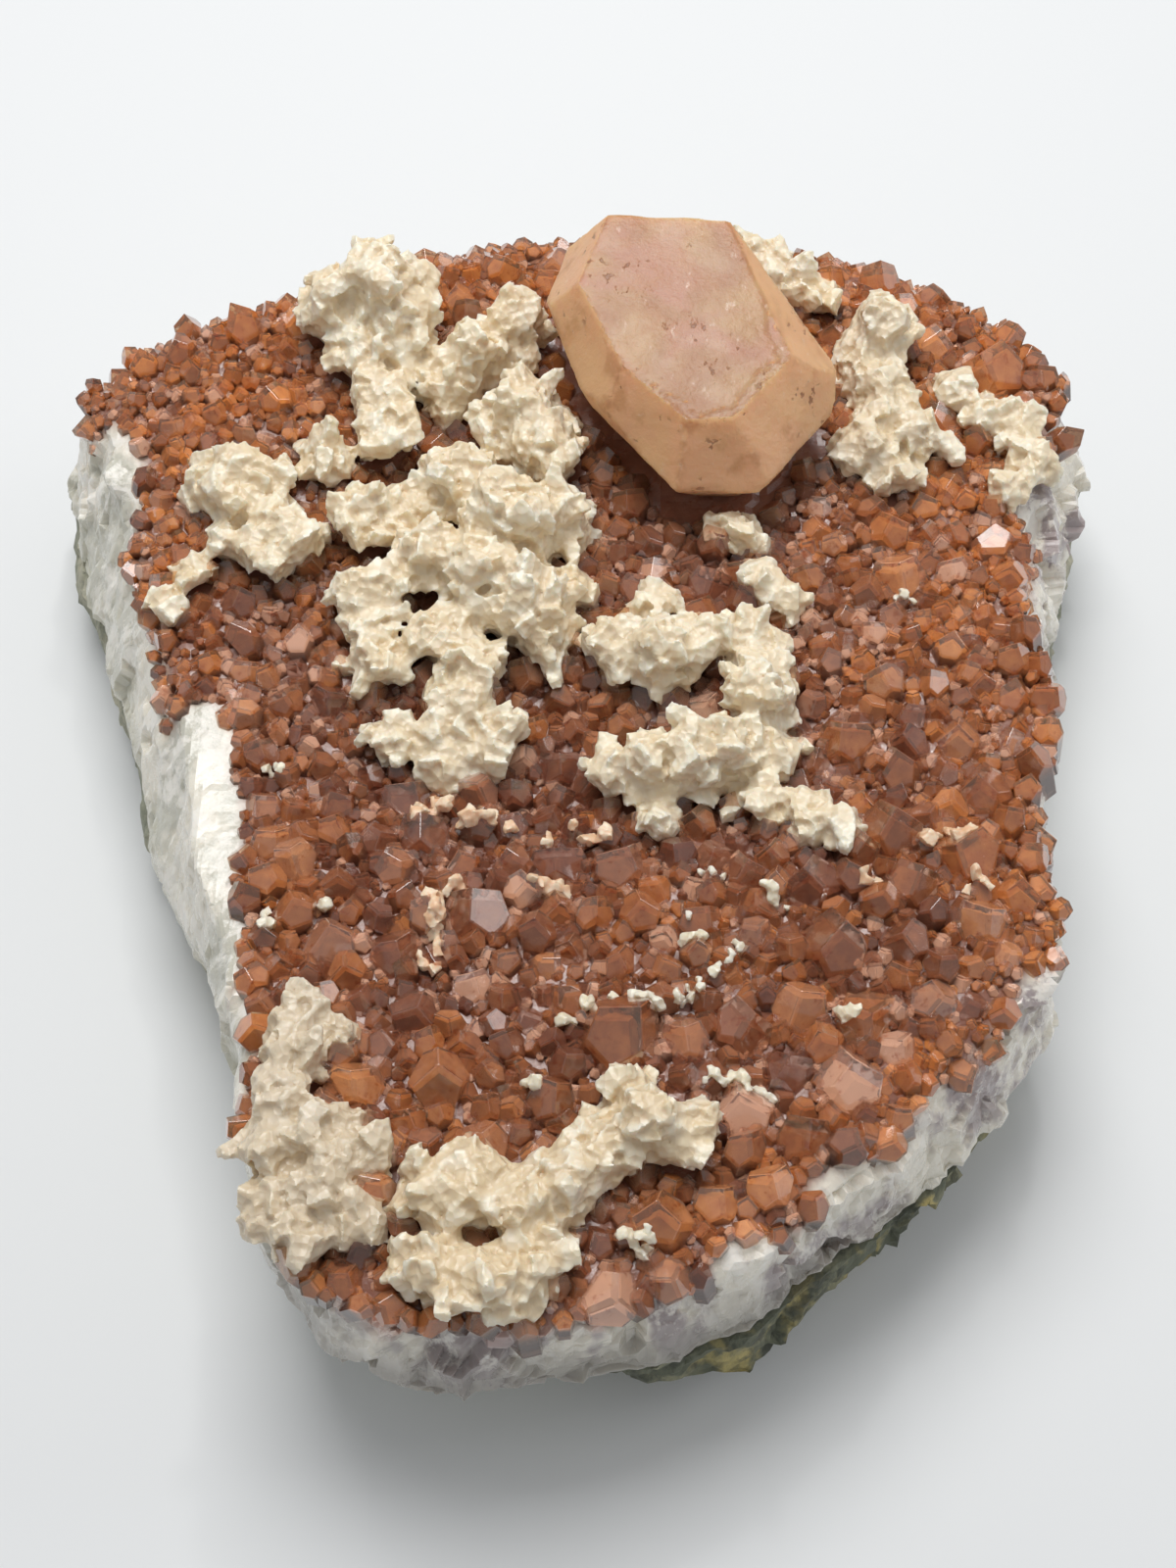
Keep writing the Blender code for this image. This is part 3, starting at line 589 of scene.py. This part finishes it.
def grow_point(x, y, radius, lift):
    """Stands one quartz point on the bed. Gives False where the bed isn't there or is taken."""
    spot, normal, _, _ = plain_tree.ray_cast(Vector((x, y, 70)), DOWN)
    if spot is None or normal.z < 0.5 or spot.z < bed_height(x, y) - 4:
        return False
    lean = Vector((rng.gauss(0, 0.36), rng.gauss(0, 0.36), 0.8))
    direction = (normal + lean * (0.4 + 0.6 * normal.z)).normalized()
    reach = spot + direction * radius * 2.3
    if not clear_of_calcite(reach):
        return False
    turn = direction.to_track_quat("Z", "Y").to_matrix().to_4x4()
    turn = turn @ Matrix.Rotation(rng.uniform(0, math.tau), 4, "Z")
    widths = [radius * MM * rng.uniform(0.84, 1.12) for _ in range(2)]
    size = Matrix.Diagonal((*widths, radius * MM * rng.uniform(0.85, 1.1), 1.0))
    base = Matrix.Translation((spot + direction * radius * lift) * MM) @ turn @ size
    iron = iron_with_painted_shade_and_light_at(x, y, rng)
    milky = rng.random() < 0.05 + 0.25 * smooth_step(2.0, 1.0, radius)
    tint = rng.uniform(0.9, 1.0) if milky else rng.uniform(0.0, 0.8)
    habit = rng.randrange(HABITS)
    clear_points.add((bevelled_points if radius > 2.2 else plain_points)[habit], base, (tint, iron))
    filled = rng.uniform(0.76, 0.90)
    heart = Matrix.Diagonal((filled, filled, rng.uniform(0.52, 0.78), 1.0))
    iron_hearts.add(plain_points[habit], base @ heart, (tint, iron))
    ground.take(Vector((x, y, 0)), radius)
    return True


for x, y, radius in LARGE_POINTS:
    if not covered(x, y, radius):
        grow_point(x, y, radius, rng.uniform(-0.75, -0.35))
for smallest, largest, tries, spacing in SMALLER_POINTS:
    for _ in range(tries):
        x, y = rng.uniform(-90, 86), rng.uniform(-94, 104)
        radius = rng.uniform(smallest, largest)
        if radius > 2.3 and rng.random() < fineness(x, y):
            continue
        if ground.free(Vector((x, y, 0)), radius, spacing) and bareness(x, y) < 0.5 and not covered(x, y, 0.5 * radius):
            grow_point(x, y, radius, rng.uniform(-0.75, 0.0))

point_finish = Finish(
    "red_quartz",
    Roughness=0.06,
    IOR=1.54,
    Transmission_Weight=0.80,
    Coat_Weight=0.7,
    Coat_Roughness=0.06,
)
tint, rise, iron = (point_finish.growth(channel) for channel in (0, 1, 2))
dust = point_finish.noise(0.0016, 4, 0.7).between(0.56, 0.66)
clouds = point_finish.noise(0.014, 2).between(0.40, 0.62)
# The iron note also carries painted shade in the middle of the druse and painted light along its edges.
tone = point_finish.mix(iron, (0.42, 0.22, 0.15), (0.74, 0.43, 0.21))
tone = point_finish.mix(tint.between(0.5, 1.0), tone, (0.84, 0.64, 0.52))
tone = point_finish.mix(dust * 0.75, tone, (0.34, 0.08, 0.03))
# Darker towards the foot of each crystal: painted shade in the gaps between crystals, partly deeper iron dust.
tone = point_finish.mix(rise.between(0.35, 0.75), (0.30, 0.14, 0.09), tone)
# Paler pinkish grey on upward faces: a painted sheen of the bright light reflected from above, partly milky haze in the
# quartz.
facing = point_finish.node("ShaderNodeNewGeometry", {}, {}, "Normal")
painted_sheen_skyward = point_finish.node("ShaderNodeSeparateXYZ", {}, {0: facing}, "Z").between(0.55, 0.95)
tone = point_finish.mix(painted_sheen_skyward * (0.06 + 0.32 * clouds), tone, (0.78, 0.56, 0.48))
clear_quartz = point_finish.finished(
    Base_Color=tone,
    Normal=point_finish.bump(point_finish.noise(0.0012, 3), 0.25, 0.0002),
)

heart_finish = Finish("iron_heart", Roughness=0.6)
tint, rise, iron = (heart_finish.growth(channel) for channel in (0, 1, 2))
clouds = heart_finish.noise(0.0022, 3)
# The iron note also carries painted shade in the middle of the druse and painted light along its edges.
deep = heart_finish.mix(iron, (0.14, 0.034, 0.016), (0.50, 0.15, 0.025))
pale = heart_finish.mix(iron, (0.46, 0.18, 0.07), (0.88, 0.45, 0.13))
tone = heart_finish.mix((tint * 0.7 + clouds * 1.6 - 0.75).clamped(), deep, pale)
tone = heart_finish.mix(tint.between(0.82, 0.95), tone, (0.66, 0.40, 0.27))
# Darker towards the foot of each heart: painted shade in the gaps between crystals, partly deeper iron dust.
tone = heart_finish.mix(rise.between(0.42, 0.80), (0.10, 0.022, 0.010), tone)
iron_quartz = heart_finish.finished(Base_Color=tone)

for growth, name, finish in (
    (clear_points, "clear_quartz_points", clear_quartz),
    (iron_hearts, "iron_hearts_of_points", iron_quartz),
):
    crystals = stage_mesh(growth.mesh(name), name)
    crystals.data.materials.append(finish)
    crystals.visible_shadow = growth is iron_hearts
    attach(crystals, "root")
    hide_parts("quartz_crust")


# Dolomite. Cream saddle-shaped rhombs, a few millimetres across, that grew over the quartz in knobbly
# ridges. Each growth is many rhombs on a lumpy heart, and neighbours lie nearly parallel.

RHOMB_SQUASH = 0.72


def saddle_rhomb(rng, cuts, steps):
    """A rhomb of unit edge, pressed along its short diagonal and curved like a saddle, with a few
    lesser ones grown on along one edge, which gives it the stepped flank of the real ones."""
    bm = bmesh.new()
    stand_on_corner = Vector((1, 1, 1)).rotation_difference(Vector((0, 0, 1))).to_matrix()
    along = Vector((rng.uniform(0.3, 0.45), 0, 0))
    for step in range(steps):
        first = len(bm.verts)
        bmesh.ops.create_cube(bm, size=1 - 0.16 * step)
        bm.verts.ensure_lookup_table()
        turn = Matrix.Rotation(rng.uniform(-0.16, 0.16), 3, "Z") @ Matrix.Rotation(rng.uniform(-0.16, 0.16), 3, "Y")
        shift = along * step + Vector((0, rng.uniform(-0.1, 0.1), rng.uniform(-0.1, 0.1))) * step
        for vert in bm.verts[first:]:
            vert.co = turn @ vert.co + shift
    bmesh.ops.subdivide_edges(bm, edges=bm.edges[:], cuts=cuts, use_grid_fill=True)
    curve = rng.uniform(0.18, 0.34)
    for vert in bm.verts:
        x, y, z = stand_on_corner @ vert.co
        vert.co = Vector((x, y, z * RHOMB_SQUASH + curve * (x * x - y * y)))
    bmesh.ops.recalc_face_normals(bm, faces=bm.faces)
    bmesh.ops.triangulate(bm, faces=bm.faces)
    points = np.array([vert.co[:] for vert in bm.verts])
    faces = np.array([[vert.index for vert in face.verts] for face in bm.faces])
    bm.free()
    return points, faces


def scattered(mesh, count, rng):
    """Places spread evenly over a mesh, each with the way its face points."""
    mesh.calc_loop_triangles()
    corners = [[mesh.vertices[i].co for i in triangle.vertices] for triangle in mesh.loop_triangles]
    areas = [triangle.area for triangle in mesh.loop_triangles]
    normals = [triangle.normal.copy() for triangle in mesh.loop_triangles]
    for index in rng.choices(range(len(areas)), weights=areas, k=count):
        a, b, c = corners[index]
        s, t = rng.random(), rng.random()
        if s + t > 1:
            s, t = 1 - s, 1 - t
        yield (a + (b - a) * s + (c - a) * t) / MM, normals[index]


# Edge from and to in mm, tries for each square millimetre, and how near neighbours stand
RHOMB_SIZES = [(2.4, 3.6, 1.0, 0.66), (1.5, 2.3, 4.0, 0.48), (1.0, 1.5, 4.0, 0.52)]
SKIN_VOXEL = 0.40
SHADE = {"dolomite_front_left": 0.9, "dolomite_front_arc": 0.2, "dolomite_right_cluster": 0.2}
IRON_STAIN = {
    "dolomite_front_arc": 0.8, "dolomite_main_ridge": 0.45, "dolomite_back_ridge": 0.5,
    "dolomite_front_left": 0.35, "dolomite_right_ridge": 0.3, "dolomite_left_block": 0.5,
}
dolomite_rng = random.Random(23)
rhombs = [saddle_rhomb(dolomite_rng, 2, 2 + i % 2) for i in range(8)]
small_rhombs = [saddle_rhomb(dolomite_rng, 1, 2) for _ in range(6)]

dolomite_finish = Finish(
    "dolomite",
    IOR=1.6,
    Subsurface_Weight=0.55,
    Subsurface_Scale=0.0014,
    Subsurface_Radius=(1.0, 0.85, 0.65),
    Coat_Weight=0.15,
    Coat_Roughness=0.15,
)
tint, rise, stain = (dolomite_finish.growth(channel) for channel in (0, 1, 2))
patch = dolomite_finish.noise(0.006, 4, 0.6)
tone = dolomite_finish.mix(patch.between(0.35, 0.65), (0.89, 0.78, 0.58), (0.95, 0.87, 0.71))
# Ochre and darker in the hollows between rhombs: partly iron stain, partly painted shade where shade falls in them.
stain_and_painted_shade_in_hollows = (1 - rise.between(0.05, 0.6)) * (0.35 + stain)
tone = dolomite_finish.mix(stain_and_painted_shade_in_hollows.clamped() * 0.7, tone, (0.74, 0.56, 0.32))
tone = dolomite_finish.mix(patch.between(0.62, 0.74) * stain * 0.6, tone, (0.74, 0.47, 0.27))
tone = dolomite_finish.mix(tint * 0.6, tone, (0.60, 0.49, 0.36))
dolomite_material = dolomite_finish.finished(
    Base_Color=tone,
    Roughness=0.30 + 0.2 * patch,
    Normal=dolomite_finish.bump(dolomite_finish.cells(0.0014), 0.7, 0.0007),
)


def rhomb_matrix(place, normal, edge, rng):
    """Stands a rhomb with a corner outwards, nearly parallel to those round it."""
    family = noise.noise_vector(place / 7.0) * 0.9
    wander = Vector((rng.gauss(0, 0.16), rng.gauss(0, 0.16), rng.gauss(0, 0.16)))
    direction = (normal + family + wander).normalized()
    turn = noise.noise(place / 8.0 + Vector((9, 9, 9))) * 6 + rng.gauss(0, 0.25)
    return (
        Matrix.Translation((place - normal * edge * rng.uniform(0.15, 0.4)) * MM)
        @ direction.to_track_quat("Z", "Y").to_matrix().to_4x4()
        @ Matrix.Rotation(turn, 4, "Z")
        @ Matrix.Rotation(math.radians(rng.uniform(20, 65)), 4, "X")
        @ Matrix.Scale(edge * MM, 4)
    )


def template_of(mesh, swell):
    """A mesh as points and faces, swollen by some mm."""
    mesh.calc_loop_triangles()
    points = np.array([vert.co + vert.normal * swell * MM for vert in mesh.vertices])
    return points, np.array([triangle.vertices[:] for triangle in mesh.loop_triangles])


def swell_knobs(place, normal):
    """Knobs several millimetres across, with creases between them."""
    distance = noise.voronoi(place / 7.0)[0][0]
    return place + normal * (1.1 - 2.6 * distance)


def grow_dolomite(node, rng):
    heart = evenly_meshed(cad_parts[node].data.copy(), 0.8, smoothings=8)
    reshape(heart, swell_knobs)
    area = sum(face.area for face in heart.polygons) / MM ** 2
    growth = Growth()
    ground = Ground(3.5)
    for smallest, largest, tries, spacing in RHOMB_SIZES:
        for place, normal in scattered(heart, int(area * tries), rng):
            edge = rng.uniform(smallest, largest)
            if normal.z > -0.5 and ground.free(place, edge, spacing):
                ground.take(place, edge)
                growth.add(rng.choice(rhombs), rhomb_matrix(place, normal, edge, rng), (0, 0))
    growth.add(template_of(heart, -0.4), Matrix.Identity(4), (0, 0))
    skin = evenly_meshed(growth.mesh("loose_rhombs"), SKIN_VOXEL)
    heart_tree = tree_of(heart)
    stain = IRON_STAIN.get(node, 0.35)
    shade = SHADE.get(node, 0.0)
    rises = [min(heart_tree.find_nearest(vert.co / MM)[3] / 1.6, 1) for vert in skin.vertices]
    notes = [(shade, rise, stain) for rise in rises]
    note_growth(skin, np.array(notes))
    skin.shade_smooth()
    skin.set_sharp_from_angle(angle=math.radians(35))
    made = stage_mesh(skin, node + "_rhombs")
    made.data.materials.append(dolomite_material)
    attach(made, "root")
    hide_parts(node)


for node in LATER_GROWTHS:
    if node.startswith("dolomite"):
        grow_dolomite(node, dolomite_rng)


# Calcite. One large peach crystal, waxy and clouded, that grew last. Its broad top face is pitted and
# stepped, the facets round it are smoother, and iron has stained its lower edges.

CALCITE_VOXEL = 0.45
SHARP = math.radians(9)


def facet_edges(mesh):
    """The two ends in mm of each edge where facets meet."""
    bm = bmesh.new()
    bm.from_mesh(mesh)
    bmesh.ops.remove_doubles(bm, verts=bm.verts, dist=0.01 * MM)
    found = [
        [np.array(vert.co) / MM for vert in edge.verts]
        for edge in bm.edges if edge.is_manifold and edge.calc_face_angle() > SHARP
    ]
    bm.free()
    return found


def distances(places, edges):
    """How far in mm each place is from the nearest of the edges."""
    nearest = np.full(len(places), np.inf)
    for start, end in edges:
        along = end - start
        share = np.clip((places - start) @ along / (along @ along), 0, 1)
        foot = start + share[:, None] * along
        nearest = np.minimum(nearest, np.linalg.norm(places - foot, axis=1))
    return nearest


def wear_calcite(place, normal, inset):
    """A thin step on the broad top, ragged along its lower right, and a slow swell all over."""
    top = smooth_step(0.93, 0.98, normal.z)
    towards_front = smooth_step(-2, 12, (place.x - 16) * 0.6 - (place.y - 61))
    ragged = towards_front * (1.6 + 1.8 * noise.noise(place / 2.2) + 1.0 * noise.noise(place / 0.8))
    step = 0.28 * smooth_step(ragged - 0.3, ragged + 0.3, inset) if towards_front > 0 else 0.28
    swell = 0.22 * noise.noise(place / 6.0) + 0.05 * noise.noise(place / 1.3)
    return place + normal * (top * (step - 0.3) + swell)


calcite_mesh = evenly_meshed(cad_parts["calcite_crystal"].data.copy(), CALCITE_VOXEL)
calcite_places = np.array([vert.co for vert in calcite_mesh.vertices]) / MM
insets = distances(calcite_places, facet_edges(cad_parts["calcite_crystal"].data))
reshape(calcite_mesh, wear_calcite, insets)
lined = 1 - np.clip(insets / 1.2, 0, 1)
note_growth(calcite_mesh, np.column_stack([lined, lined, lined]))
calcite_mesh.shade_smooth()
calcite_mesh.set_sharp_from_angle(angle=math.radians(25))
calcite = stage_mesh(calcite_mesh, "calcite_body")

calcite_finish = Finish(
    "calcite",
    IOR=1.6,
    Transmission_Weight=0.1,
    Subsurface_Weight=0.7,
    Subsurface_Scale=0.006,
    Subsurface_Radius=(1.0, 0.6, 0.35),
)
depth_back = calcite_finish.node("ShaderNodeSeparateXYZ", {}, {0: calcite_finish.place}, "Y")
facing = calcite_finish.node("ShaderNodeNewGeometry", {}, {}, "Normal")
facing_up = calcite_finish.node("ShaderNodeSeparateXYZ", {}, {0: facing}, "Z").between(0.8, 0.97)
haze = calcite_finish.noise(0.012, 3)
rose = calcite_finish.noise(0.016, 2, distortion=0.6).between(0.46, 0.60)
ochre = calcite_finish.noise(0.008, 4, 0.6).between(0.56, 0.70)
speckle = calcite_finish.noise(0.0010, 3, 0.6)
flaws = calcite_finish.noise(0.0015, 3, 0.6, stretch=(1, 0.4, 1)).between(0.62, 0.74)
milk = calcite_finish.noise(0.009, 3, 0.6, distortion=0.5).between(0.50, 0.68)
clusters = calcite_finish.noise(0.007, 2).between(0.52, 0.62)
pits = calcite_finish.noise(0.0013, 2, 0.6, stretch=(1, 0.7, 1)).between(0.60, 0.68) * clusters
line = calcite_finish.growth(0) * calcite_finish.noise(0.004, 3, 0.7).between(0.45, 0.62)
tone = calcite_finish.mix(haze.between(0.35, 0.65), (0.45, 0.205, 0.085), (0.58, 0.345, 0.16))
tone = calcite_finish.mix(rose * 0.75, tone, (0.55, 0.25, 0.155))
# Brighter orange on the facets round the top: a painted glow of light shining through the crystal.
tone = calcite_finish.mix((1 - facing_up) * 0.6, tone, (0.95, 0.57, 0.30))
tone = calcite_finish.mix(ochre * 0.55, tone, (0.52, 0.23, 0.075))
tone = calcite_finish.mix(milk * facing_up * 0.4, tone, (0.64, 0.43, 0.28))
tone = calcite_finish.mix(flaws * 0.35, tone, (0.82, 0.64, 0.48))
tone = calcite_finish.mix(line * 0.5, tone, (0.46, 0.19, 0.08))
tone = calcite_finish.mix(pits * 0.75, tone, (0.27, 0.10, 0.035))
calcite.data.materials.append(
    calcite_finish.finished(
        Base_Color=tone,
        Roughness=0.45 - 0.2 * flaws,
        Normal=calcite_finish.bump(speckle - pits, 0.4, 0.0004),
    )
)
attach(calcite, "root")
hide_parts("calcite_crystal")


# Crumbs. The last dolomite and calcite to grow: short peach crusts along the backs of some crystals,
# and white flecks between them. They are far too small to be solids of their own in the frame.

CRUST_LINES = [
    [(-24.5, -12.0), (-22.0, -10.4), (-19.6, -11.0)],
    [(-17.0, -14.6), (-14.6, -13.4), (-12.0, -14.2)],
    [(-5.6, -16.4), (-3.4, -15.0), (-0.4, -15.6), (1.6, -16.4)],
    [(-6.0, -25.4), (-3.6, -24.6)],
    [(-18.4, -24.6), (-21.0, -26.4), (-21.8, -29.0), (-21.4, -31.6)],
    [(-19.6, -35.0), (-21.4, -36.8)],
    [(47.0, -18.4), (50.0, -17.6), (52.0, -18.6)],
    [(31.0, -25.0)],
    [(38.0, -25.0), (40.0, -25.8)],
    [(54.0, -26.0), (56.4, -26.8)],
    [(50.0, -28.4)],
]
FLECK_LINES = [
    [(-46.0, -5.0), (-43.6, -5.6)],
    [(-45.0, -30.0), (-44.0, -32.0)],
    [(-37.0, -27.0), (-36.0, -28.6)],
    [(16.0, -22.0), (18.0, -22.4), (20.0, -21.4)],
    [(25.0, -26.6), (26.0, -28.4), (27.4, -30.6)],
    [(13.0, -30.0)],
    [(12.6, -34.6), (14.6, -34.0)],
    [(20.6, -35.4), (18.6, -37.6), (16.6, -39.6), (14.0, -41.4), (12.6, -43.4)],
    [(-2.4, -46.0), (0.0, -43.6), (3.6, -42.8), (7.4, -43.2), (9.4, -44.4)],
    [(-8.4, -55.0), (-7.0, -56.4)],
    [(16.0, -53.6), (18.6, -54.6), (21.0, -55.2), (23.4, -57.2)],
    [(5.0, -77.0), (6.4, -76.0), (7.6, -77.2), (6.2, -78.4)],
    [(34.0, -45.0), (36.4, -46.4)],
    [(47.0, 25.0), (49.6, 25.4)],
]
CRUST_EDGE = 1.4
FLECK_EDGE = 1.1
CRUMB_VOXEL = 0.28
druse_tree = BVHTree.FromPolygons(
    [tuple(place / MM) for place in np.concatenate(clear_points.points)],
    [tuple(face) for face in np.concatenate(clear_points.faces)],
)


def beads_along(line, step):
    """Places every so often along a broken line, both ends included."""
    yield line[0]
    for (x, y), (next_x, next_y) in zip(line, line[1:]):
        beads = max(1, round(math.hypot(next_x - x, next_y - y) / step))
        for i in range(1, beads + 1):
            yield x + (next_x - x) * i / beads, y + (next_y - y) * i / beads


def grow_crumbs(name, lines, edge, finish, rng):
    growth = Growth()
    for line in lines:
        for x, y in beads_along(line, edge):
            for _ in range(rng.choice((0, 1, 3, 4))):
                spread = 0.5 * edge
                start = Vector((x + rng.gauss(0, spread), y + rng.gauss(0, spread), 90))
                spot, normal, _, _ = druse_tree.ray_cast(start, DOWN)
                if spot is None:
                    continue
                up = (normal + Vector((0, 0, 1))).normalized()
                size = edge * rng.uniform(0.7, 1.3)
                growth.add(rng.choice(small_rhombs), rhomb_matrix(spot + up * 0.3 * size, up, size, rng), (0, 0))
    skin = evenly_meshed(growth.mesh("loose_crumbs"), CRUMB_VOXEL)
    note_growth(skin, np.array([(0, 1, 0.3)] * len(skin.vertices)))
    skin.shade_smooth()
    skin.set_sharp_from_angle(angle=math.radians(35))
    crumbs = stage_mesh(skin, name)
    crumbs.data.materials.append(finish)
    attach(crumbs, "root")


peach_finish = Finish(
    "peach_crust", IOR=1.6, Roughness=0.45, Subsurface_Weight=0.3, Subsurface_Scale=0.0015,
    Subsurface_Radius=(1.0, 0.6, 0.4),
)
freckles = peach_finish.noise(0.0016, 3)
peach_crust = peach_finish.finished(
    Base_Color=peach_finish.mix(freckles.between(0.35, 0.65), (0.80, 0.50, 0.30), (0.92, 0.74, 0.55)),
    Normal=peach_finish.bump(freckles, 0.3, 0.0003),
)
crumb_rng = random.Random(5)
grow_crumbs("peach_crusts", CRUST_LINES, CRUST_EDGE, peach_crust, crumb_rng)
grow_crumbs("white_flecks", FLECK_LINES, FLECK_EDGE, dolomite_material, crumb_rng)
